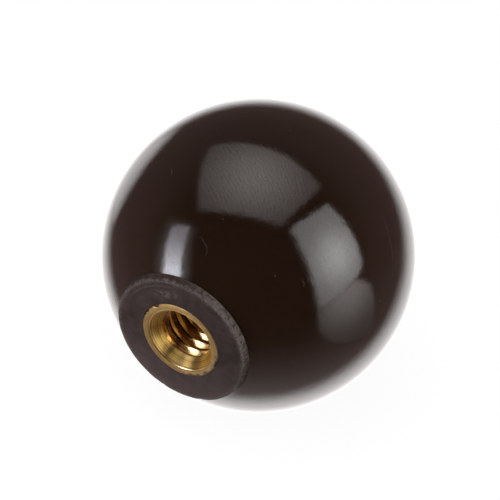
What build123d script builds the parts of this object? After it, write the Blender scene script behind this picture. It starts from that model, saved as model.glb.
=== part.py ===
from build123d import *

import math
import os

# Ball knob in millimetres. The thread axis is Y: the flat face of the collar lies in the plane
# y = 0 and looks along -Y, the ball lies behind it along +Y, and +Z is up.

# Ball and collar
ball_diameter = 38.1
overall_length = 36.9
collar_face_diameter = 17.25
collar_draft_angle = 7.0
collar_rim_chamfer = 0.15
collar_root_radius = 0.3

# Outside of the brass insert
insert_length = 15.9
land_diameter = 10.3
land_length = 0.7
knurl_diameter = 10.6
knurl_depth = 0.35
knurl_teeth = 30
retention_groove_depth = 0.8
retention_groove_width = 2.4
retention_groove_start = 7.0
insert_end_chamfer = 0.7

# Tapped hole in the insert, at the size of its drill
countersink_diameter = 8.5
countersink_lip_depth = 0.2
countersink_angle = 82.0
thread_drill_diameter = 6.53
thread_drill_depth = 12.0
drill_point_angle = 118.0

# Places that follow from the sizes above
ball_radius = ball_diameter / 2
ball_centre_y = overall_length - ball_radius
collar_face_radius = collar_face_diameter / 2
collar_base_radius = collar_face_radius + ball_centre_y * math.tan(math.radians(collar_draft_angle))
knurl_radius = knurl_diameter / 2
land_radius = land_diameter / 2
groove_end = retention_groove_start + retention_groove_width
groove_radius = knurl_radius - retention_groove_depth
countersink_radius = countersink_diameter / 2
drill_radius = thread_drill_diameter / 2
countersink_depth = (countersink_radius - drill_radius) / math.tan(math.radians(countersink_angle / 2))
thread_start = countersink_lip_depth + countersink_depth
drill_point_depth = drill_radius / math.tan(math.radians(drill_point_angle / 2))
drill_tip = thread_drill_depth + drill_point_depth

# The face plane's normal points out of the hole, so extrusions into the ball are negative.
face_plane = Plane.XZ
profile_plane = Plane.XY

# Outer form of the insert: a knurled bar, turned down to a smooth land at the face, with one
# groove that keys it into the moulding and a chamfered blind end.
with BuildPart() as insert_form:
    with BuildSketch(face_plane.offset(-land_length)):
        Circle(knurl_radius)
        with PolarLocations(knurl_radius, knurl_teeth):
            notch_side = knurl_depth * math.sqrt(2)
            Rectangle(notch_side, notch_side, rotation=45, mode=Mode.SUBTRACT)
    extrude(amount=-(insert_length - land_length))
    with BuildSketch(face_plane):
        Circle(land_radius)
    extrude(amount=-land_length)
    with BuildSketch(profile_plane):
        with BuildLine():
            Polyline(
                (0, 0),
                (knurl_radius, 0),
                (knurl_radius, retention_groove_start),
                (groove_radius, retention_groove_start),
                (groove_radius, groove_end),
                (knurl_radius, groove_end),
                (knurl_radius, insert_length - insert_end_chamfer),
                (knurl_radius - insert_end_chamfer, insert_length),
                (0, insert_length),
                close=True,
            )
        make_face()
    revolve(axis=Axis.Y, mode=Mode.INTERSECT)

# Moulded ball: a sphere that runs into a short drafted collar with a flat machined face. Its
# seat is the insert's own outer form, because the phenolic is moulded round the brass.
with BuildPart() as ball:
    with BuildSketch(profile_plane) as ball_profile:
        with Locations((0, ball_centre_y)):
            Circle(ball_radius)
        with BuildLine():
            Polyline(
                (0, 0),
                (collar_face_radius, 0),
                (collar_base_radius, ball_centre_y),
                (0, ball_centre_y),
                close=True,
            )
        make_face()
        with Locations((ball_radius, overall_length / 2)):
            Rectangle(ball_diameter, overall_length, mode=Mode.INTERSECT)
        collar_root = ball_profile.vertices().group_by(Axis.Y)[1]
        fillet(collar_root, collar_root_radius)
        collar_rim = ball_profile.vertices().group_by(Axis.Y)[0].sort_by(Axis.X)[-1]
        chamfer(collar_rim, collar_rim_chamfer)
    revolve(axis=Axis.Y)
    add(insert_form.part, mode=Mode.SUBTRACT)

# Brass insert: the same outer form with its countersunk blind hole.
with BuildPart() as threaded_insert:
    add(insert_form.part)
    with BuildSketch(profile_plane):
        with BuildLine():
            Polyline(
                (0, 0),
                (countersink_radius, 0),
                (countersink_radius, countersink_lip_depth),
                (drill_radius, thread_start),
                (drill_radius, thread_drill_depth),
                (0, drill_tip),
                close=True,
            )
        make_face()
    revolve(axis=Axis.Y, mode=Mode.SUBTRACT)

ball.part.label = "ball"
threaded_insert.part.label = "threaded_insert"
os.makedirs("parts", exist_ok=True)
export_step(ball.part, "parts/ball.step")
export_step(threaded_insert.part, "parts/threaded_insert.step")
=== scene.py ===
import math

import bpy
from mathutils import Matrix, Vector, noise


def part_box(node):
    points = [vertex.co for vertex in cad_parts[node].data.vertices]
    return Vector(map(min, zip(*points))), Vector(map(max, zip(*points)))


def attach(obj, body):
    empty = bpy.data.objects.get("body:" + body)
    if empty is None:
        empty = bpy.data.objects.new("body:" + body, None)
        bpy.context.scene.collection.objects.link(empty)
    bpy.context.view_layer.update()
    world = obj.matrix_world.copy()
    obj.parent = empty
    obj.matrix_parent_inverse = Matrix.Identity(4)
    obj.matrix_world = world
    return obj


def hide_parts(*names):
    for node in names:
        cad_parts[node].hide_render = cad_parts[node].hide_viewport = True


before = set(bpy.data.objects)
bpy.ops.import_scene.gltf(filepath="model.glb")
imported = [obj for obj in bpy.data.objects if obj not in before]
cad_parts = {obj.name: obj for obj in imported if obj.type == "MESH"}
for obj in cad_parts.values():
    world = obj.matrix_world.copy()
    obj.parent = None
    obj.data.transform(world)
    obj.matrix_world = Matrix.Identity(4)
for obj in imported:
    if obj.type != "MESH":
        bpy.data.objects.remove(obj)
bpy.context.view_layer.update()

MM = 0.001

# The ball knob lies with its thread axis along Y: the end face is the plane y = 0, the hole runs
# along +Y, and the ball ends at overall_length. Radii are measured from the Y axis.
ball_low, ball_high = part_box("ball")
ball_radius = min(ball_high.x, -ball_low.x, ball_high.z, -ball_low.z)
overall_length = ball_high.y
ball_centre = Vector((0, overall_length - ball_radius, 0))

# Ball and collar
face_radius = 8.625 * MM
collar_draft = math.radians(7.0)
root_radius = 0.3 * MM
rim_break = 0.10 * MM

# Chips in the collar's rim. A noise is (waves round the rim, weight, shift of the seed). The rim has
# shallow chips nearly all along and deep ones here and there: (share of the depth, shift of the seed,
# threshold). Dips are chips in the face's edge.
chip_depth = 0.11 * MM
chip_noises = ((9, 0.6, 0), (30, 0.5, 5))
chip_softness = 0.4
rim_chips = ((0.25, 0, -0.1), (0.75, 9, 0.22))
rim_seed = 3.0
rim_seed_step = 0.2
dip_share = 0.8
dip_threshold = 0.2
dip_seed = 8.0

# Outside of the insert, and the phenolic that is moulded round it
insert_length = 15.9 * MM
land_radius = 5.13 * MM
land_length = 0.7 * MM
land_wander = 0.015 * MM
land_waves = 3
land_seed = 2.0
knurl_crest = 5.29 * MM
knurl_depth = 0.35 * MM
knurl_teeth = 30
groove_start = 7.0 * MM
groove_end = 9.4 * MM
groove_radius = 4.5 * MM
insert_end_chamfer = 0.7 * MM
end_shrink_share = 0.55
seat_gap = 0.03 * MM
edge_break = 0.05 * MM
edge_middle = 0.3

# Mouth of the hole
lip_radius = 4.25 * MM
lip_depth = 0.26 * MM
bevel_outer_radius = 4.74 * MM
bevel_inner_radius = 4.42 * MM
bevel_depth = 0.03 * MM
bevel_bow = 1.8
lip_wall_start = 0.12 * MM
countersink_half_angle = math.radians(41)

# Thread: right-handed. The corner of a crest is (distance along the axis, height) in millimetres.
thread_pitch = 25.4 / 18 * MM
thread_major_radius = 3.92 * MM
thread_minor_radius = 3.265 * MM
thread_crest_flat = 0.34 * MM
thread_flank_bow = 1.42
flank_shares = (0.09, 0.20, 0.34, 0.50, 0.68, 0.86)
crest_corner = ((0.0, 0.050), (0.04, 0.024), (0.09, 0.008), (0.15, 0.0))
thread_end = 10.4 * MM
thread_runout = 1.2 * MM
thread_phase = 0.30
thread_spare_turns = 2
thread_margin = 0.004 * MM
first_turn_start = 0.54
first_turn_full = 0.80
drill_depth = 12.0 * MM
drill_point_half_angle = math.radians(59)
cone_tolerance = 0.01 * MM

# Mesh density
segments = 360
sphere_rings = 110
rim_steps = 3
wall_steps = 6
root_steps = 5
face_steps = 14
ring_steps = 6
bevel_steps = 3
lip_steps = 6

# Edges that turn by more than this many degrees are shaded sharp
ball_sharp_angle = 32
insert_sharp_angle = 30

# Camera: the photograph's frame is 500 pixels square. Angles are in degrees.
camera_azimuth = 30.95
camera_elevation = 40.3
camera_distance = 16 * ball_radius
focal_pixels = 2515
frame_pixels = 500
sensor_width = 36.0
aim_right = -0.0541 * ball_radius
aim_up = 0.0344 * ball_radius
nearest_seen = 0.01
farthest_seen = 20


def cosine(degrees):
    return math.cos(math.radians(degrees))


def sine(degrees):
    return math.sin(math.radians(degrees))


def direction(azimuth, elevation):
    """Unit vector towards a place seen from the ball, in degrees, azimuth 0 along -Y and 90 along +X."""
    flat = cosine(elevation)
    return Vector((sine(azimuth) * flat, -cosine(azimuth) * flat, sine(elevation)))


def smooth_step(low, high, value):
    t = min(max((value - low) / (high - low), 0), 1)
    return t * t * (3 - 2 * t)


# Meshes


def add_object(name, data):
    added = bpy.data.objects.new(name, data)
    bpy.context.scene.collection.objects.link(added)
    return added


class Turned:
    """Collects rings of vertices about the Y axis and the strips of faces between them."""

    def __init__(self):
        self.vertices = []
        self.faces = []
        self.materials = []

    def point(self, radius, depth, angle):
        self.vertices.append((radius * math.cos(angle), depth, radius * math.sin(angle)))
        return len(self.vertices) - 1

    def ring(self, radius, depth):
        """radius and depth may be numbers or functions of the angle. A radius of 0 makes one point."""
        if radius == 0:
            return [self.point(0, depth, 0)] * segments
        ring = []
        for i in range(segments):
            angle = 2 * math.pi * i / segments
            r = radius(angle) if callable(radius) else radius
            y = depth(angle) if callable(depth) else depth
            ring.append(self.point(r, y, angle))
        return ring

    def rings(self, outline):
        return [self.ring(r, y) for r, y in outline]

    def face(self, corners, material):
        """Leaves out repeated corners. material may be a function of the corners that are left."""
        corners = list(dict.fromkeys(corners))
        if len(corners) > 2:
            self.faces.append(corners)
            self.materials.append(material(corners) if callable(material) else material)

    def strip(self, first, second, material):
        for i in range(segments):
            j = (i + 1) % segments
            self.face((first[i], first[j], second[j], second[i]), material)

    def strips(self, rings, materials, inside=False):
        """Faces between neighbouring rings, with a material for each strip, seen from outside or inside."""
        for k, material in enumerate(materials):
            first, second = (rings[k + 1], rings[k]) if inside else (rings[k], rings[k + 1])
            self.strip(first, second, material)

    def make_object(self, name, materials, sharp_angle):
        mesh = bpy.data.meshes.new(name)
        mesh.from_pydata(self.vertices, [], self.faces)
        for material in materials:
            mesh.materials.append(material)
        mesh.polygons.foreach_set("material_index", self.materials)
        mesh.polygons.foreach_set("use_smooth", [True] * len(self.faces))
        mesh.update()
        mesh.set_sharp_from_angle(angle=math.radians(sharp_angle))
        return add_object(name, mesh)


# Ball and collar. An outline is a list of (radius, depth) points.

GLOSS, WALL, FACE = 0, 1, 2


def chip(angle, seed, threshold):
    """0 on most of the rim, up to 1 in the small places where the edge has broken away."""
    rough = 0.0
    for waves, weight, shift in chip_noises:
        where = Vector((math.cos(angle) * waves, math.sin(angle) * waves, seed + shift))
        rough += noise.noise(where) * weight
    return min(max((rough - threshold) / chip_softness, 0), 1)


def rim_radius(base, seed):
    def radius(angle):
        depth = sum(share * chip(angle, seed + shift, threshold) for share, shift, threshold in rim_chips)
        return base - chip_depth * depth
    return radius


def rim_depth(base):
    return lambda angle: base + chip_depth * dip_share * chip(angle, dip_seed, dip_threshold)


def collar_root():
    """Centre and ends of the small round in the corner between the collar's wall and the sphere."""
    wall = Vector((face_radius, 0))
    out = Vector((math.cos(collar_draft), -math.sin(collar_draft)))
    centre_distance = ball_radius + root_radius
    sphere = Vector((0, ball_centre.y))
    start = wall + out * root_radius
    along = Vector((math.tan(collar_draft), 1)).normalized()
    to_start = start - sphere
    b = to_start.dot(along)
    c = to_start.length_squared - centre_distance ** 2
    t = -b - math.sqrt(b * b - c)
    centre = start + along * t
    on_wall = centre - out * root_radius
    on_sphere = sphere + (centre - sphere).normalized() * ball_radius
    return centre, on_wall, on_sphere


def rim_outline():
    """The broken edge between the face and the wall."""
    points = []
    for k in range(rim_steps + 1):
        turn = math.pi / 2 * k / rim_steps
        r = face_radius - rim_break * (1 - math.sin(turn))
        y = rim_break * (1 - math.cos(turn))
        points.append((rim_radius(r, rim_seed + rim_seed_step * k), rim_depth(y)))
    return points


def wall_outline(on_wall):
    start = Vector((face_radius + rim_break * math.tan(collar_draft), rim_break))
    return [tuple(start.lerp(on_wall, k / wall_steps)) for k in range(1, wall_steps + 1)]


def root_outline(centre, on_wall, on_sphere):
    start = math.atan2(on_wall.y - centre.y, on_wall.x - centre.x)
    end = math.atan2(on_sphere.y - centre.y, on_sphere.x - centre.x)
    if end - start > math.pi:
        end -= 2 * math.pi
    if start - end > math.pi:
        end += 2 * math.pi
    turns = [start + (end - start) * k / root_steps for k in range(1, root_steps + 1)]
    return [(centre.x + root_radius * math.cos(a), centre.y + root_radius * math.sin(a)) for a in turns]


def sphere_outline(on_sphere):
    """From the collar's root to the back of the ball, which is one point."""
    start = math.atan2(on_sphere.x, ball_centre.y - on_sphere.y)
    turns = [start + (math.pi - start) * k / sphere_rings for k in range(1, sphere_rings)]
    points = [(ball_radius * math.sin(a), ball_centre.y - ball_radius * math.cos(a)) for a in turns]
    return points + [(0, ball_centre.y + ball_radius)]


def face_outline():
    """From the face's outer edge to the mouth of the insert's seat."""
    outer = face_radius - rim_break
    seat_radius = land_radius + seat_gap
    points = []
    for k in range(1, face_steps + 1):
        points.append((outer + (seat_radius + edge_break - outer) * k / face_steps, 0))
    return points + [(seat_radius, edge_break)]


def knurl(angle):
    """Depth of the knurl's V notch at an angle, 0 on the crests."""
    tooth = 2 * math.pi / knurl_teeth
    offset = abs((angle + tooth / 2) % tooth - tooth / 2) * knurl_crest
    return max(knurl_depth - offset, 0)


def knurled(clearance, shrink=0.0):
    return lambda angle: knurl_crest - shrink - knurl(angle) + clearance


def insert_outline(clearance):
    """The insert's outside behind its land, grown by a clearance."""
    return [
        (land_radius + clearance, land_length - clearance),
        (knurled(clearance), land_length - clearance),
        (knurled(clearance), groove_start + clearance),
        (groove_radius + clearance, groove_start + clearance),
        (groove_radius + clearance, groove_end - clearance),
        (knurled(clearance), groove_end - clearance),
        (knurled(clearance), insert_length - insert_end_chamfer),
        (knurled(clearance, insert_end_chamfer * end_shrink_share), insert_length + clearance),
        (0, insert_length + clearance),
    ]


def make_ball(materials):
    turned = Turned()
    centre, on_wall, on_sphere = collar_root()
    outer = turned.rings(rim_outline() + wall_outline(on_wall) + root_outline(centre, on_wall, on_sphere)
                         + sphere_outline(on_sphere))
    dull_strips = rim_steps + wall_steps + root_steps - 1
    turned.strips(outer, [WALL] * dull_strips + [GLOSS] * (len(outer) - 1 - dull_strips))
    inner = [outer[0]] + turned.rings(face_outline() + insert_outline(seat_gap))
    turned.strips(inner, [FACE] * (len(inner) - 1), inside=True)
    return turned.make_object("ball_shell", materials, ball_sharp_angle)


# Insert

RING, MOUTH, THREAD, LIP = 0, 1, 2, 3

# Places where the knurl's notches show through the land: angle, half width in degrees, and depth
open_notches = (
    (128.0, 6.5, 0.27),
    (139.0, 2.2, 0.12),
    (149.8, 3.0, 0.24),
    (158.0, 2.6, 0.22),
    (-14.0, 2.4, 0.14),
    (-20.0, 2.6, 0.20),
    (-63.2, 1.9, 0.12),
    (-69.0, 1.9, 0.14),
    (-75.0, 1.9, 0.14),
    (-81.0, 1.9, 0.12),
    (-87.0, 1.7, 0.08),
)
notch_floor_share = 0.35


def notch_depth(angle):
    degrees = math.degrees(angle)
    deepest = 0.0
    for centre, half_width, depth in open_notches:
        offset = abs((degrees - centre + 180) % 360 - 180)
        open_share = 1 - smooth_step(half_width * notch_floor_share, half_width, offset)
        deepest = max(deepest, depth * MM * open_share)
    return deepest


def land(shrink):
    def radius(angle):
        where = Vector((math.cos(angle) * land_waves, math.sin(angle) * land_waves, land_seed))
        return land_radius - shrink + land_wander * noise.noise(where) - notch_depth(angle)
    return radius


def land_outline():
    """The insert's smooth land, from its broken edge at the face."""
    return [
        (land(edge_break), 0),
        (land(edge_break * edge_middle), edge_break * edge_middle),
        (land(0), edge_break),
        (land(0), land_length / 2),
    ]


def notched_ring(radius, share):
    """A ring of the insert's face, drawn in by a share of the notches."""
    return lambda angle: radius - notch_depth(angle) * share


def mouth_outline():
    """The insert's face, the worn bevel and the round lip, up to the lip's upright wall."""
    edge = land_radius - edge_break
    points = []
    for k in range(1, ring_steps):
        r = edge + (bevel_outer_radius - edge) * k / ring_steps
        points.append((notched_ring(r, 1 - k / ring_steps), 0))
    points.append((bevel_outer_radius, 0))
    for k in range(1, bevel_steps + 1):
        t = k / bevel_steps
        r = bevel_outer_radius + (bevel_inner_radius - bevel_outer_radius) * t
        points.append((r, bevel_depth * t ** bevel_bow))
    for k in range(1, lip_steps + 1):
        turn = math.pi / 2 * k / lip_steps
        r = bevel_inner_radius + (lip_radius - bevel_inner_radius) * math.sin(turn)
        points.append((r, bevel_depth + (lip_wall_start - bevel_depth) * (1 - math.cos(turn))))
    return points


def countersink_radius(depth):
    return lip_radius - (depth - lip_depth) * math.tan(countersink_half_angle)


def thread_section():
    """(share of the pitch, radius) points of one turn, from the middle of the root to the next: flanks
    that bow into a round root, and narrow crests with rounded corners."""
    groove_half = (thread_pitch - thread_crest_flat) / 2
    groove_depth = thread_major_radius - thread_minor_radius
    points = [(0.0, thread_major_radius)]
    for share in flank_shares:
        points.append((groove_half * share, thread_major_radius - groove_depth * share ** thread_flank_bow))
    for along, height in crest_corner:
        points.append((groove_half + along * MM, thread_minor_radius + height * MM))
    points.append((thread_pitch / 2, thread_minor_radius))
    mirrored = [(thread_pitch - y, r) for y, r in reversed(points[1:-1])]
    return [(y / thread_pitch, r) for y, r in points + mirrored]


def thread_radius(profile_radius, depth, turns_along):
    """The thread's own radius: it starts below the countersink and runs out near the drill's end."""
    start = smooth_step(first_turn_start, first_turn_full, turns_along)
    fade = smooth_step(thread_end - thread_runout, thread_end, depth)
    return thread_minor_radius + (profile_radius - thread_minor_radius) * start * (1 - fade)


def thread_column(turned, i, section, rows, top, bottom):
    """Numbers of the vertices down the hole at one angle. Rows beyond the thread share the end rings."""
    column = []
    for j in range(rows + 1):
        share, radius = section[j % len(section)]
        row_turn = j // len(section) + share - i / segments
        groove_turn = j // len(section) + round(share) - i / segments
        depth = thread_pitch * (thread_phase + row_turn)
        if depth <= lip_depth + thread_margin:
            column.append(top[i])
        elif depth >= drill_depth - thread_margin:
            column.append(bottom[i])
        else:
            r = max(thread_radius(radius, depth, groove_turn), countersink_radius(depth))
            column.append(turned.point(r, depth, 2 * math.pi * i / segments))
    return column


def cone_or_thread(turned):
    """Gives faces on the countersink's cone one material, and the thread's another."""
    cone_end = lip_depth + (lip_radius - thread_minor_radius) / math.tan(countersink_half_angle)

    def material(corners):
        places = [turned.vertices[v] for v in corners]
        depth = sum(y for x, y, z in places) / len(places)
        radius = sum(math.hypot(x, z) for x, y, z in places) / len(places)
        on_cone = depth < cone_end and abs(radius - countersink_radius(depth)) < cone_tolerance
        return MOUTH if on_cone else THREAD
    return material


def add_thread(turned):
    """Rows that follow the helix from the countersink's lip to the drill's end. Returns both end rings."""
    section = thread_section()
    rows = len(section) * (math.ceil(drill_depth / thread_pitch) + thread_spare_turns)
    top = turned.ring(lip_radius, lip_depth)
    bottom = turned.ring(thread_minor_radius, drill_depth)
    columns = [thread_column(turned, i, section, rows, top, bottom) for i in range(segments)]
    material = cone_or_thread(turned)
    for i in range(segments):
        shift = len(section) if i == segments - 1 else 0
        here = columns[i]
        beside = columns[(i + 1) % segments]
        for j in range(shift, rows):
            k = j - shift
            turned.face((here[j], beside[k], beside[k + 1], here[j + 1]), material)
    return top, bottom


def make_insert(materials):
    turned = Turned()
    outer = turned.rings(land_outline() + insert_outline(0))
    turned.strips(outer, [RING] * (len(outer) - 1))
    mouth = [outer[0]] + turned.rings(mouth_outline())
    top, bottom = add_thread(turned)
    mouth_materials = [RING] * (1 + ring_steps + bevel_steps) + [LIP] * (lip_steps - 1) + [RING]
    turned.strips(mouth + [top], mouth_materials, inside=True)
    drill_tip = drill_depth + thread_minor_radius / math.tan(drill_point_half_angle)
    tip = turned.ring(0, drill_tip)
    turned.strip(tip, bottom, THREAD)
    return turned.make_object("brass_insert", materials, insert_sharp_angle)


# Node helpers


class Nodes:
    """A small front end to a node tree, for one material or world."""

    def __init__(self, tree):
        self.tree = tree
        tree.nodes.clear()

    def add(self, kind, **settings):
        node = self.tree.nodes.new(kind)
        for name, value in settings.items():
            setattr(node, name, value)
        return node

    def put(self, socket, value):
        if isinstance(value, bpy.types.NodeSocket):
            self.tree.links.new(value, socket)
        elif value is not None:
            socket.default_value = value

    def fill(self, node, **values):
        """Puts values in the inputs with these names, in which _ stands for a space."""
        for name, value in values.items():
            self.put(node.inputs[name.replace("_", " ")], value)

    def fill_in_order(self, node, *values):
        for socket, value in zip(node.inputs, values):
            self.put(socket, value)

    def math(self, operation, *values, clamp=False):
        node = self.add("ShaderNodeMath", operation=operation, use_clamp=clamp)
        self.fill_in_order(node, *values)
        return node.outputs[0]

    def times(self, *values):
        product = values[0]
        for value in values[1:]:
            product = self.math("MULTIPLY", product, value)
        return product

    def vector(self, operation, *values):
        node = self.add("ShaderNodeVectorMath", operation=operation)
        self.fill_in_order(node, *values)
        return node.outputs["Value" if operation in ("DOT_PRODUCT", "LENGTH") else "Vector"]

    def dot(self, a, b):
        return self.vector("DOT_PRODUCT", a, b)

    def step(self, value, low, high, start=0.0, end=1.0):
        """Smooth change from start to end while value goes from low to high."""
        node = self.add("ShaderNodeMapRange", interpolation_type="SMOOTHSTEP")
        self.fill(node, Value=value, From_Min=low, From_Max=high, To_Min=start, To_Max=end)
        return node.outputs[0]

    def within(self, cosine_of_angle, outer, inner, peak=1.0):
        """peak while the angle is less than inner degrees, 0 beyond outer degrees."""
        return self.step(cosine_of_angle, cosine(outer), cosine(inner), 0.0, peak)

    def noise(self, place, scale, detail, roughness, distortion=0.0):
        node = self.add("ShaderNodeTexNoise")
        self.fill(node, Vector=place, Scale=scale, Detail=detail, Roughness=roughness,
                  Distortion=distortion)
        return node.outputs[0]

    def patches(self, place, noise_settings, limits):
        """Noise that is stepped between limits."""
        return self.step(self.noise(place, *noise_settings), *limits)

    def mix(self, share, a, b):
        node = self.add("ShaderNodeMix", data_type="RGBA")
        self.put(node.inputs[0], share)
        self.put(node.inputs[6], a)
        self.put(node.inputs[7], b)
        return node.outputs[2]

    def bump(self, height, strength, distance, normal=None):
        node = self.add("ShaderNodeBump")
        self.fill(node, Strength=strength, Distance=distance, Height=height, Normal=normal)
        return node.outputs[0]

    def combine(self, *values):
        node = self.add("ShaderNodeCombineXYZ")
        self.fill_in_order(node, *values)
        return node.outputs[0]

    def split(self, vector):
        node = self.add("ShaderNodeSeparateXYZ")
        self.put(node.inputs[0], vector)
        return node.outputs

    def blend(self, share, first, second):
        """Mixes two shaders."""
        node = self.add("ShaderNodeMixShader")
        self.fill_in_order(node, share, first.outputs[0], second.outputs[0])
        return node

    def finish(self, shader, kind="ShaderNodeOutputMaterial"):
        self.fill(self.add(kind), Surface=shader.outputs[0])

    def principled(self, **inputs):
        shader = self.add("ShaderNodeBsdfPrincipled")
        self.fill(shader, **inputs)
        self.finish(shader)


def colour(r, g, b):
    return (r, g, b, 1.0)


def object_position(nodes):
    """Object position in millimetres."""
    scaled = nodes.add("ShaderNodeVectorMath", operation="SCALE")
    position = nodes.add("ShaderNodeTexCoord").outputs["Object"]
    nodes.put(scaled.inputs[0], position)
    nodes.fill(scaled, Scale=1 / MM)
    return scaled.outputs[0]


def axis_coordinates(nodes):
    """Object position in millimetres, distance from the thread axis, angle about it and depth."""
    position = object_position(nodes)
    x, y, z = nodes.split(position)
    radius = nodes.math("SQRT", nodes.math("ADD", nodes.times(x, x), nodes.times(z, z)))
    return position, radius, nodes.math("ARCTAN2", z, x), y


def around_angle(nodes, angle, centre, outer, inner):
    """1 within inner degrees of an angle about the axis, 0 beyond outer degrees."""
    near = nodes.math("COSINE", nodes.math("SUBTRACT", angle, math.radians(centre)))
    return nodes.within(near, outer, inner)


def new_material(name):
    material = bpy.data.materials.new(name)
    material.use_nodes = True
    return material, Nodes(material.node_tree)


# In the settings of the materials below, a noise is (scale in cells a millimetre, detail, roughness,
# distortion), a step is (low, high, value at low, value at high), patches are (noise, step), a place
# about the axis is (angle, outer half width, inner half width) in degrees, and a bump is (strength,
# depth). Radii and other distances are in millimetres.

# Polished phenolic

phenolic_dark = colour(0.0112, 0.0053, 0.0030)
phenolic_warm = colour(0.0146, 0.0073, 0.0042)
phenolic_dust = colour(0.060, 0.045, 0.038)
phenolic_ior = 1.6
cloud_noise = (0.16, 3.0, 0.55)
polish_roughness = ((0.35, 4.0, 0.6, 0.4), (0.3, 0.75, 0.055, 0.085))
polish_gloss = ((5.5, 2.0, 0.6), (0.3, 0.7, 0.45, 0.55))
polish_bumps = (
    ((0.22, 2.0, 0.5), 0.5, 0.06 * MM),
    ((1.35, 2.0, 0.55, 0.3), 0.35, 0.02 * MM),
    ((3.6, 2.0, 0.6, 1.5), 0.6, 0.006 * MM),
)

# Fine dust: cells a millimetre, radius of a dot, and share of the cells that have one
dust_scale = 1.1
dust_radius = 0.085
dust_share = 0.10
dust_weight = 0.7

# Marks on the ball, as places on its surface seen from its centre. Specks: azimuth, elevation, radius.
# Scratches are arcs: centre and radius of the circle, middle and half length of the arc, and weight.
surface_specks = (
    (-161.1, 75.9, 0.32),
    (10.7, 51.5, 0.30),
    (37.5, 33.2, 0.34),
    (79.9, 10.6, 0.42),
    (130.3, 78.9, 0.30),
    (121.8, 57.6, 0.34),
    (14.3, 20.0, 0.30),
    (-10.6, 66.4, 0.26),
)
surface_scratches = (
    ((1.5, 38.9), 4.27, (4.6, 40.6), 4.4, 0.45),
    ((-5.8, 29.3), 24.98, (-29.3, 17.4), 6.5, 0.40),
    ((6.9, 33.8), 31.24, (-31.2, 40.5), 6.5, 0.30),
    ((12.0, 35.0), 33.0, (-27.0, 46.0), 4.5, 0.22),
    ((-46.8, 39.0), 17.45, (-40.0, 55.8), 1.9, 0.60),
    ((25.0, 30.6), 60.72, (95.2, 27.4), 9.0, 0.40),
    ((44.6, 28.7), 3.70, (48.5, 29.4), 1.8, 0.70),
)
speck_weight = 0.8
dot_core = 0.4
scratch_half_width = 0.22
scratch_core = 0.3
scratch_body = 0.6
scratch_wander = 0.0016
scratch_noise = (1.4, 2.0, 0.6)

# Polishing ripples: arcs about a place low on the camera's side of the ball, closer together sideways
ripple_right = (0.8576, 0.5143, 0.0)
ripple_up = (-0.3327, 0.5548, 0.7627)
ripple_centre_right = -7.1
ripple_centre_up = 9.1
ripple_stretch = 1.15
ripples_per_mm = 2.45
ripple_weight = 0.07
ripple_waver = 1.6
ripple_waver_noise = (0.55, 3.0, 0.6)
ripple_patches = ((0.9, 2.0, 0.5), (0.35, 0.65, 0.3, 1.0))
ripple_rise = (3.0, 7.0, 0.2, 1.0)


def dust(nodes, position):
    """Small round dots, in a random share of the cells of a grid."""
    cells = nodes.add("ShaderNodeTexVoronoi", feature="F1")
    nodes.fill(cells, Vector=position, Scale=dust_scale)
    chosen = nodes.add("ShaderNodeSeparateColor")
    nodes.put(chosen.inputs[0], cells.outputs["Color"])
    size = dust_radius * dust_scale
    dot = nodes.step(cells.outputs["Distance"], size, size * dot_core)
    return nodes.times(dot, nodes.math("LESS_THAN", chosen.outputs[0], dust_share))


def placed_marks(nodes, position):
    """Dust specks and hairline scratches at their places on the ball."""
    place = nodes.vector("NORMALIZE", nodes.vector("SUBTRACT", position, tuple(ball_centre / MM)))
    uneven = nodes.noise(position, *scratch_noise)
    wander = nodes.math("MULTIPLY_ADD", uneven, 2 * scratch_wander, -scratch_wander)
    marks = 0.0
    for azimuth, elevation, size in surface_specks:
        near = nodes.dot(place, tuple(direction(azimuth, elevation)))
        dot = nodes.within(near, size, size * dot_core, speck_weight)
        marks = nodes.math("MAXIMUM", dot, marks)
    for centre, radius, middle, half_length, weight in surface_scratches:
        near = nodes.dot(place, tuple(direction(*centre)))
        off = nodes.math("ADD", nodes.math("SUBTRACT", near, cosine(radius)), wander)
        width = sine(radius) * math.radians(scratch_half_width)
        line = nodes.step(nodes.math("ABSOLUTE", off), width, width * scratch_core)
        along = nodes.dot(place, tuple(direction(*middle)))
        ends = nodes.within(along, half_length, half_length * scratch_body, weight)
        marks = nodes.math("MAXIMUM", nodes.times(line, ends), marks)
    return marks


def polishing_ripples(nodes, position):
    """Fine wavy arcs, -1 to 1, strong only in patches."""
    waver = nodes.times(nodes.noise(position, *ripple_waver_noise), ripple_waver)
    across = nodes.math("SUBTRACT", nodes.dot(position, ripple_right), ripple_centre_right)
    upward = nodes.math("SUBTRACT", nodes.dot(position, ripple_up), ripple_centre_up)
    across = nodes.times(across, ripple_stretch)
    squares = nodes.math("ADD", nodes.times(across, across), nodes.times(upward, upward))
    distance = nodes.math("ADD", nodes.math("SQRT", squares), waver)
    wave = nodes.math("SINE", nodes.times(distance, 2 * math.pi * ripples_per_mm / ripple_stretch))
    strong = nodes.times(nodes.patches(position, *ripple_patches), nodes.step(upward, *ripple_rise))
    return nodes.times(wave, strong)


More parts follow.
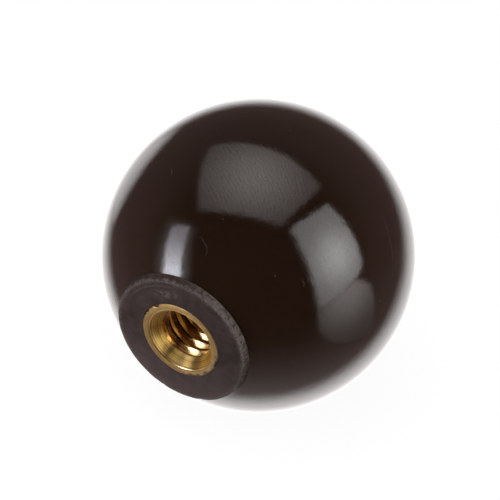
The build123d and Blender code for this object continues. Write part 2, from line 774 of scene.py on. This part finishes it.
def polished_phenolic():
    material, nodes = new_material("polished_phenolic")
    position = object_position(nodes)
    body = nodes.mix(nodes.noise(position, *cloud_noise), phenolic_dark, phenolic_warm)
    dots = nodes.times(dust(nodes, position), dust_weight)
    marks = nodes.math("MAXIMUM", dots, placed_marks(nodes, position))
    ripples = polishing_ripples(nodes, position)
    gloss = nodes.math("MULTIPLY_ADD", ripples, ripple_weight, nodes.patches(position, *polish_gloss))
    normal = None
    for bump_noise, strength, depth in polish_bumps:
        normal = nodes.bump(nodes.noise(position, *bump_noise), strength, depth, normal)
    nodes.principled(
        Base_Color=nodes.mix(marks, body, phenolic_dust),
        Roughness=nodes.patches(position, *polish_roughness),
        IOR=phenolic_ior, Specular_IOR_Level=gloss, Normal=normal,
    )
    return material


# Cut phenolic of the collar's wall

cut_phenolic_sheen = colour(1.0, 0.84, 0.80)
wall_ior = 1.36
wall_dark = colour(0.0105, 0.0052, 0.0037)
wall_pale = colour(0.026, 0.0165, 0.0132)
wall_scuffs = (2.6, 4.0, 0.65)
wall_scuff_step = (0.35, 0.75)
# Painted sheen: a lighter colour round the top of the wall, where light falls on it.
painted_top_sheen = (80, 60, 15)
painted_top_sheen_weight = 0.45
painted_top_sheen_colour = colour(0.055, 0.042, 0.038)
wall_rubbed = (40, 50, 14)
wall_rubbed_blotches = ((1.7, 4.0, 0.7), (0.36, 0.62, 0.10, 0.58))
wall_rubbed_colour = colour(0.160, 0.137, 0.126)
wall_patches = ((0.9, 3.0, 0.6), (0.5, 0.75, 0.0, 0.5))
wall_patch_colour = colour(0.055, 0.042, 0.037)
wall_rim_noise = (1.2, 2.0, 0.5)
wall_rim_waver = -0.9
wall_rim_step = (0.05, -0.25)
wall_worn = ((3.1, 4.0, 0.75), (0.45, 0.60))
wall_worn_weight = 0.75
wall_worn_colour = colour(0.125, 0.105, 0.100)
wall_roughness = (0.3, 0.7, 0.74, 0.88)
wall_gloss = ((3.4, 4.0, 0.7), (0.42, 0.58, 0.10, 0.55))
wall_bump = (0.9, 0.12 * MM)


def worn_edge(nodes, position, across, edge_noise, waver, edge_step, blotches):
    """Where the edge between the collar's face and wall is worn, in blotches with an uneven border."""
    reach = nodes.math("MULTIPLY_ADD", nodes.noise(position, *edge_noise), waver, across)
    edge = nodes.step(reach, *edge_step)
    return nodes.math("MULTIPLY", edge, nodes.patches(position, *blotches), clamp=True)


def collar_wall_phenolic():
    material, nodes = new_material("collar_wall_phenolic")
    position, _, angle, depth = axis_coordinates(nodes)
    scuffs = nodes.noise(position, *wall_scuffs)
    tint = nodes.mix(nodes.step(scuffs, *wall_scuff_step), wall_dark, wall_pale)
    # Painted sheen: the wall is made lighter round its top.
    top = nodes.times(around_angle(nodes, angle, *painted_top_sheen), painted_top_sheen_weight)
    tint = nodes.mix(top, tint, painted_top_sheen_colour)
    blotches = nodes.patches(position, *wall_rubbed_blotches)
    rubbed = nodes.times(around_angle(nodes, angle, *wall_rubbed), blotches)
    tint = nodes.mix(rubbed, tint, wall_rubbed_colour)
    tint = nodes.mix(nodes.patches(position, *wall_patches), tint, wall_patch_colour)
    worn = worn_edge(nodes, position, depth, wall_rim_noise, wall_rim_waver, wall_rim_step, wall_worn)
    nodes.principled(
        Base_Color=nodes.mix(nodes.times(worn, wall_worn_weight), tint, wall_worn_colour),
        Roughness=nodes.step(scuffs, *wall_roughness),
        IOR=wall_ior, Specular_IOR_Level=nodes.patches(position, *wall_gloss),
        Specular_Tint=cut_phenolic_sheen, Normal=nodes.bump(scuffs, *wall_bump),
    )
    return material


# Machined phenolic of the collar's face

face_ior = 1.38
face_dark = colour(0.0070, 0.0028, 0.0022)
face_pale = colour(0.0290, 0.0170, 0.0145)
face_scored_colour = colour(0.06, 0.044, 0.040)
painted_low_sheen_colour = colour(0.090, 0.066, 0.060)
face_scuff_colour = colour(0.085, 0.068, 0.064)
face_chipped_colour = colour(0.112, 0.098, 0.094)
face_wander_noise = (0.5, 2.0, 0.5)
face_wander = 0.12
face_ring_noise = (5.5, 4.0, 0.65)
face_ring_turn = 0.25
face_ring_step = (0.58, 0.75)
face_ring_weight = 0.45
face_grain = (5.0, 4.0, 0.7)
face_mottle = (0.7, 3.0, 0.6)
face_patch_share = 0.6
face_patch_step = (0.46, 0.74)
# Painted sheen: a lighter colour towards the outer edge on the lower side of the face.
painted_low_sheen = (-90, 95, 20)
painted_low_sheen_radii = (5.4, 8.9, 0.5)
painted_low_sheen_weight = 0.42
face_scuffs = (107, 20, 8)
face_scuff_inner = (5.8, 6.5)
face_scuff_outer = (7.4, 6.9)
face_scuff_patches = ((1.6, 4.0, 0.65), (0.46, 0.60))
face_scuff_weight = 0.6
face_arc = (122, 34, 14)
face_arc_radius = 7.75
face_arc_step = (0.16, 0.04)
face_arc_grain = (0.38, 0.62, 0.1, 0.5)
face_rim_noise = (2.1, 3.0, 0.65)
face_rim_waver = 0.8
face_rim_step = (8.40, 8.95)
face_chips = ((4.4, 4.0, 0.75), (0.36, 0.66))
face_chip_weight = 0.7
face_roughness = (0.3, 0.7, 0.55, 0.7)
face_relief_shares = (0.7, 0.5)
face_bump = (0.45, 0.03 * MM)


def machined_rings(nodes, position, radius, angle):
    """Fine uneven rings that the turning tool left in the collar's face."""
    wander = nodes.times(nodes.noise(position, *face_wander_noise), face_wander)
    place = nodes.combine(nodes.math("ADD", radius, wander), nodes.times(angle, face_ring_turn))
    return nodes.noise(place, *face_ring_noise)


def scuffed_place(nodes, position, radius, angle):
    band = nodes.times(nodes.step(radius, *face_scuff_inner), nodes.step(radius, *face_scuff_outer))
    place = nodes.times(band, around_angle(nodes, angle, *face_scuffs))
    return nodes.times(place, nodes.patches(position, *face_scuff_patches), face_scuff_weight)


def scored_arc(nodes, grain, radius, angle):
    off = nodes.math("ABSOLUTE", nodes.math("SUBTRACT", radius, face_arc_radius))
    place = nodes.times(nodes.step(off, *face_arc_step), around_angle(nodes, angle, *face_arc))
    return nodes.times(place, nodes.step(grain, *face_arc_grain))


def machined_phenolic():
    material, nodes = new_material("machined_phenolic")
    position, radius, angle, _ = axis_coordinates(nodes)
    rings = machined_rings(nodes, position, radius, angle)
    grain = nodes.noise(position, *face_grain)
    mottle = nodes.times(nodes.noise(position, *face_mottle), face_patch_share)
    patchy = nodes.math("MULTIPLY_ADD", grain, face_patch_share, mottle)
    tint = nodes.mix(nodes.step(patchy, *face_patch_step), face_dark, face_pale)
    scored = nodes.times(nodes.step(rings, *face_ring_step), face_ring_weight)
    tint = nodes.mix(scored, tint, face_scored_colour)
    # Painted sheen: the face is made lighter towards its outer edge on its lower side.
    outward = nodes.step(radius, *painted_low_sheen_radii)
    low_sheen = nodes.times(around_angle(nodes, angle, *painted_low_sheen), outward, painted_low_sheen_weight)
    tint = nodes.mix(low_sheen, tint, painted_low_sheen_colour)
    tint = nodes.mix(scuffed_place(nodes, position, radius, angle), tint, face_scuff_colour)
    tint = nodes.mix(scored_arc(nodes, grain, radius, angle), tint, face_scuff_colour)
    chips = worn_edge(nodes, position, radius, face_rim_noise, face_rim_waver, face_rim_step, face_chips)
    tint = nodes.mix(nodes.times(chips, face_chip_weight), tint, face_chipped_colour)
    ring_share, grain_share = face_relief_shares
    relief = nodes.math("ADD", nodes.times(rings, ring_share), nodes.times(grain, grain_share))
    nodes.principled(
        Base_Color=tint, Roughness=nodes.step(grain, *face_roughness), IOR=face_ior,
        Specular_Tint=cut_phenolic_sheen, Normal=nodes.bump(relief, *face_bump),
    )
    return material


# Brass

faced_colours = (colour(0.71, 0.48, 0.175), colour(0.57, 0.38, 0.14))
lip_colours = (colour(0.95, 0.75, 0.39), colour(0.78, 0.60, 0.30))
turned_colours = (colour(0.97, 0.69, 0.22), colour(0.85, 0.60, 0.19))
tapped_colours = (colour(0.88, 0.61, 0.27), colour(0.72, 0.49, 0.21))
# Dark brass for dirt in the tool marks, and for a painted shade on the countersink's lower side.
brass_grime_and_shade = colour(0.16, 0.09, 0.035)
stain_noise = (1.1, 4.0, 0.6)
stain_step = (0.35, 0.7)
stain_roughness_step = (0.3, 0.7)
# Place of a painted shade on the lower side of the countersink: angle, outer and inner half width.
painted_shade_side = (-80, 34, 8)
mark_detail = (3.0, 0.6)
mark_wobble = 0.02
mark_slope = 0.6
grime_step = (0.56, 0.72)
streak_step = (0.46, 0.58)
streak_scale = 1.1
ridges_per_mm = 8.0
ridge_noise = (0.8, 2.0, 0.5)
ridge_wander = 0.08
smear_colour = colour(0.030, 0.021, 0.019)
smear_angle = math.radians(-42)
smear_side_step = (0.60, 0.85)
smear_noise = (1.9, 3.0, 0.6)
smear_waver = -1.1
smear_reach_step = (4.12, 4.42)
smear_weight = 0.92
smear_roughness = 0.25
quarter_turn = 0.25


def tool_marks(nodes, radius, angle, scale):
    """Fine uneven rings about the thread axis, like the marks of a turning tool."""
    side = nodes.times(nodes.math("SINE", angle), mark_wobble)
    up = nodes.times(nodes.math("COSINE", angle), mark_wobble)
    return nodes.noise(nodes.combine(radius, side, up), scale, *mark_detail)


def smeared_edge(nodes, position, radius, angle):
    """Where phenolic was dragged over the outer part of the insert's face when it was cut flush."""
    side = nodes.step(nodes.math("COSINE", nodes.math("SUBTRACT", angle, smear_angle)), *smear_side_step)
    reach = nodes.math("MULTIPLY_ADD", nodes.noise(position, *smear_noise), smear_waver, radius)
    return nodes.times(side, nodes.step(reach, *smear_reach_step), smear_weight)


def tool_ridges(nodes, position, radius):
    """Saw-tooth ridges that the corner of the turning tool left."""
    uneven = nodes.noise(position, *ridge_noise)
    uneven_radius = nodes.math("MULTIPLY_ADD", uneven, ridge_wander, radius)
    return nodes.math("FRACT", nodes.times(uneven_radius, ridges_per_mm))


def turned_brass(name, colours, roughness_range, mark_scale, grime, streaks, brushed, mark_depth,
                 ridge_depth=0.0, painted_shade=0.0, smeared=False):
    """Brass that was cut by a turning tool. grime and streaks are how strongly the dirt shows in the tool
    marks and in finer ones, painted_shade is how strongly a painted shade darkens the lower side, and
    brushed is how much the gloss spreads across the marks."""
    material, nodes = new_material(name)
    position, radius, angle, depth = axis_coordinates(nodes)
    along = nodes.math("ADD", radius, nodes.times(depth, mark_slope))
    marks = tool_marks(nodes, along, angle, mark_scale)
    stain = nodes.noise(position, *stain_noise)
    tint = nodes.mix(nodes.step(stain, *stain_step), *colours)
    tint = nodes.mix(nodes.times(nodes.step(marks, *grime_step), grime), tint, brass_grime_and_shade)
    fine_marks = tool_marks(nodes, radius, angle, mark_scale * streak_scale)
    tint = nodes.mix(nodes.step(fine_marks, *streak_step, 0.0, streaks), tint, brass_grime_and_shade)
    # Painted shade: the lower side is darkened with the dark brass colour, where the cone reflects less
    # light.
    if painted_shade:
        side = nodes.times(around_angle(nodes, angle, *painted_shade_side), painted_shade)
        tint = nodes.mix(side, tint, brass_grime_and_shade)
    roughness = nodes.step(stain, *stain_roughness_step, *roughness_range)
    normal = nodes.bump(marks, 1.0, mark_depth)
    if ridge_depth:
        normal = nodes.bump(tool_ridges(nodes, position, radius), 1.0, ridge_depth, normal)
    metallic = 1.0
    if smeared:
        smear = smeared_edge(nodes, position, radius, angle)
        tint = nodes.mix(smear, tint, smear_colour)
        metallic = nodes.math("SUBTRACT", 1.0, smear)
        roughness = nodes.math("MULTIPLY_ADD", smear, smear_roughness, roughness)
    around = nodes.add("ShaderNodeTangent", direction_type="RADIAL", axis="Y")
    nodes.principled(
        Base_Color=tint, Metallic=metallic, Roughness=roughness, Normal=normal,
        Anisotropic=brushed, Anisotropic_Rotation=quarter_turn, Tangent=around.outputs[0],
    )
    return material


# Studio lights. Angles are in degrees, seen from the ball.

far_card_distance = 1.3
near_card_distance = 0.06
glow_card_distance = 0.066
card_margin = 1.25


def lobe(nodes, towards, centre, low, peak, sharpness):
    """Strength that falls away smoothly from a bright centre."""
    share = nodes.math("POWER", nodes.math("MULTIPLY_ADD", nodes.dot(towards, centre), 0.5, 0.5), sharpness)
    return nodes.math("MULTIPLY_ADD", share, peak - low, low)


def card_points(corners, facing, distance):
    """Corners of a flat card, with a margin for its soft edges."""
    flat = [d * (distance / d.dot(facing)) for d in corners]
    middle = sum(flat, Vector()) / len(flat)
    return [ball_centre + middle + (p - middle) * card_margin for p in flat]


def soft_cover(nodes, towards, outline, corners, facing):
    """1 inside the outline and 0 outside it, with soft edges."""
    cover = 1.0
    for k, corner in enumerate(corners):
        inward = corner.cross(corners[(k + 1) % len(corners)]).normalized()
        if inward.dot(facing) < 0:
            inward = -inward
        softness = outline[k][2]
        reach = sine(softness / 2)
        cover = nodes.times(nodes.step(nodes.dot(towards, tuple(inward)), -reach, reach), cover)
    return cover


def flat_mesh(name, points, material):
    mesh = bpy.data.meshes.new(name)
    mesh.from_pydata(points, [], [tuple(range(len(points)))])
    mesh.materials.append(material)
    return mesh


def light_card(name, outline, bright_place, low, peak, sharpness, tint=(1, 1, 1),
               distance=far_card_distance):
    """A flat card of soft light. The outline is a list of (azimuth, elevation, softness of the edge that
    follows) and bright_place is (azimuth, elevation)."""
    corners = [direction(a, e) for a, e, softness in outline]
    facing = sum(corners, Vector()).normalized()
    material, nodes = new_material(name)
    position = nodes.add("ShaderNodeNewGeometry").outputs["Position"]
    towards = nodes.vector("NORMALIZE", nodes.vector("SUBTRACT", position, tuple(ball_centre)))
    strength = lobe(nodes, towards, tuple(direction(*bright_place)), low, peak, sharpness)
    cover = soft_cover(nodes, towards, outline, corners, facing)
    emission = nodes.add("ShaderNodeEmission")
    nodes.fill(emission, Color=colour(*tint), Strength=nodes.times(strength, cover))
    clear = nodes.add("ShaderNodeBsdfTransparent")
    nodes.finish(nodes.blend(cover, clear, emission))
    card = add_object(name, flat_mesh(name, card_points(corners, facing, distance), material))
    card.visible_camera = False
    card.visible_shadow = False


def make_lights():
    light_card(
        "overhead_softbox",
        ((-119.2, 38.0, 6), (137.9, 48.0, 3.5), (60.3, 56.9, 7), (-48.2, 47.3, 7)),
        bright_place=(-135, 82), low=0.31, peak=1.81, sharpness=15.5, tint=(1.06, 0.98, 0.96),
    )
    light_card(
        "side_softbox",
        ((68.3, 53.8, 2.5), (125.3, 42.0, 3), (117.6, 24.8, 3), (114.0, 4.8, 3), (107.4, 0.2, 3),
         (100.8, -1.3, 1), (70.2, -4.8, 7)),
        bright_place=(94.3, 20.2), low=1.7, peak=5.07, sharpness=47,
    )
    light_card(
        "side_softbox_foot",
        ((70.2, -4.8, 1), (100.4, -1.3, 1.5), (106.7, -4.8, 2.5), (112.8, -11.2, 3), (119.1, -32.8, 3),
         (121.8, -43.3, 3), (106.1, -42.4, 3), (91.3, -39.5, 3), (81.6, -34.8, 3), (70.0, -21.5, 6)),
        bright_place=(93.7, 0.6), low=0.18, peak=2.04, sharpness=23.8, tint=(1.04, 0.98, 0.98),
    )
    light_card(
        "strip_light",
        ((-45.6, 32.8, 2.5), (-32.4, 41.9, 3.5), (-12.0, -4.0, 3), (-25.0, -5.0, 5)),
        bright_place=(-20, 2), low=1.5, peak=14.0, sharpness=26, tint=(0.97, 0.965, 1.06),
        distance=near_card_distance,
    )
    light_card(
        "strip_glow",
        ((-52.5, 33.0, 7), (-28.5, 43.0, 10), (-7.5, -4.0, 3), (-33.0, -5.0, 18)),
        bright_place=(-22, 8), low=0.5, peak=1.25, sharpness=30, distance=glow_card_distance,
    )
    light_card(
        "strip_foot",
        ((-50.0, -13.0, 4), (-42.5, -5.0, 4), (-34.0, -3.0, 4), (-32.0, -14.0, 6), (-44.0, -23.0, 6)),
        bright_place=(-42, -9), low=1.2, peak=1.6, sharpness=30, distance=near_card_distance,
    )


# World: glossy rays see a dark room behind the camera with a bench, a glow from the floor and white walls
# behind the ball, the camera sees white, and the rest is lit by an even fill. A white wall is (tilt off
# the direction straight behind the ball, turn of the tilt in the picture, outer and inner radius).

view_side = (0.3922, -0.6541, 0.6468)
room_level = 0.13
room_tint = (1.28, 0.87, 0.83)
room_step = (0.60, -0.15)
bench_level = 0.03
bench_line = (0.292, -0.446, 0.845)
bench_line_step = (0.02, -0.02)
bench_height_step = (-0.2, -0.4)
floor_glow = 0.33
floor_glow_rise = (-2.0, -1.0)
sweep_level = 1.5
white_sweep = (10, 290, 53, 31)
white_corner = (38, 146, 18, 3)
fill_level = 0.35


def white_wall(nodes, towards, tilt, turn, outer, inner):
    back = Vector(view_side).normalized()
    right = Vector((0, 0, 1)).cross(back).normalized()
    up = back.cross(right)
    side = right * cosine(turn) + up * sine(turn)
    centre = side * sine(tilt) - back * cosine(tilt)
    return nodes.within(nodes.dot(towards, tuple(centre)), outer, inner)


def make_world():
    world = bpy.data.worlds.new("studio")
    bpy.context.scene.world = world
    world.use_nodes = True
    nodes = Nodes(world.node_tree)
    towards = nodes.add("ShaderNodeTexCoord").outputs["Generated"]
    height = nodes.split(towards)[2]
    room = nodes.step(nodes.dot(towards, view_side), *room_step, 0.0, room_level)
    below = nodes.step(nodes.dot(towards, bench_line), *bench_line_step)
    bench = nodes.times(below, nodes.step(height, *bench_height_step), bench_level)
    drop = nodes.math("MULTIPLY_ADD", height, *floor_glow_rise, clamp=True)
    under = nodes.times(drop, drop, floor_glow)
    sweep = white_wall(nodes, towards, *white_sweep)
    corner = white_wall(nodes, towards, *white_corner)
    white = nodes.times(nodes.math("MAXIMUM", sweep, corner), sweep_level)
    grey = nodes.math("ADD", nodes.math("ADD", bench, under), white)
    mirrored = nodes.combine(*[nodes.math("MULTIPLY_ADD", room, share, grey) for share in room_tint])
    path = nodes.add("ShaderNodeLightPath")
    seen = nodes.math("MAXIMUM", path.outputs["Is Camera Ray"], path.outputs["Is Transmission Ray"])
    fill = nodes.mix(path.outputs["Is Glossy Ray"], colour(fill_level, fill_level, fill_level), mirrored)
    background = nodes.add("ShaderNodeBackground")
    nodes.fill(background, Color=nodes.mix(seen, fill, colour(1, 1, 1)))
    nodes.finish(background, "ShaderNodeOutputWorld")


# Floor: a white that the camera sees, mixed with a share that shows the ball's shadow

floor_half_width = 3.0
floor_white = colour(0.95, 0.95, 0.95)
floor_shadow_share = 0.12
floor_glow_near = 1.045
floor_glow_far = 1.10
floor_near_reach = 0.10
floor_far_reach = 0.60


def make_floor():
    level = ball_centre.z - ball_radius
    w = floor_half_width
    material, nodes = new_material("floor")
    diffuse = nodes.add("ShaderNodeBsdfDiffuse")
    nodes.fill(diffuse, Color=floor_white)
    away = nodes.vector("LENGTH", nodes.add("ShaderNodeNewGeometry").outputs["Position"])
    glow = nodes.add("ShaderNodeEmission")
    strength = nodes.step(away, floor_near_reach, floor_far_reach, floor_glow_near, floor_glow_far)
    nodes.fill(glow, Color=colour(1, 1, 1), Strength=strength)
    seen = nodes.add("ShaderNodeLightPath").outputs["Is Camera Ray"]
    nodes.finish(nodes.blend(nodes.times(seen, 1 - floor_shadow_share), diffuse, glow))
    corners = [(-w, -w, level), (w, -w, level), (w, w, level), (-w, w, level)]
    floor = add_object("floor", flat_mesh("floor", corners, material))
    floor.visible_glossy = False
    floor.visible_shadow = False


def make_camera():
    back = direction(camera_azimuth, camera_elevation)
    right = Vector((cosine(camera_azimuth), sine(camera_azimuth), 0))
    up = back.cross(right)
    data = bpy.data.cameras.new("camera")
    data.sensor_width = sensor_width
    data.lens = focal_pixels / frame_pixels * sensor_width
    data.clip_start = nearest_seen
    data.clip_end = farthest_seen
    camera = add_object("camera", data)
    camera.location = ball_centre + right * aim_right + up * aim_up + back * camera_distance
    camera.rotation_mode = "QUATERNION"
    camera.rotation_quaternion = (-back).to_track_quat("-Z", "Y")
    bpy.context.scene.camera = camera


bpy.context.scene.view_settings.view_transform = "Standard"
make_camera()
make_world()
make_floor()
make_lights()

ball = make_ball([polished_phenolic(), collar_wall_phenolic(), machined_phenolic()])
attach(ball, "root")
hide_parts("ball")

insert = make_insert([
    turned_brass("brass_ring", faced_colours, roughness_range=(0.40, 0.52), mark_scale=9.0, grime=0.45,
                 streaks=0.50, brushed=0.15, mark_depth=0.015 * MM, smeared=True),
    turned_brass("brass_countersink", turned_colours, roughness_range=(0.34, 0.40), mark_scale=6.5,
                 grime=0.27, streaks=0.50, brushed=0.92, mark_depth=0.018 * MM, ridge_depth=0.044 * MM,
                 painted_shade=0.62),
    turned_brass("brass_thread", tapped_colours, roughness_range=(0.19, 0.27), mark_scale=4.0, grime=0.10,
                 streaks=0.08, brushed=0.2, mark_depth=0.004 * MM),
    turned_brass("brass_lip", lip_colours, roughness_range=(0.14, 0.22), mark_scale=9.0, grime=0.10,
                 streaks=0.15, brushed=0.0, mark_depth=0.006 * MM),
])
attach(insert, "root")
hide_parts("threaded_insert")
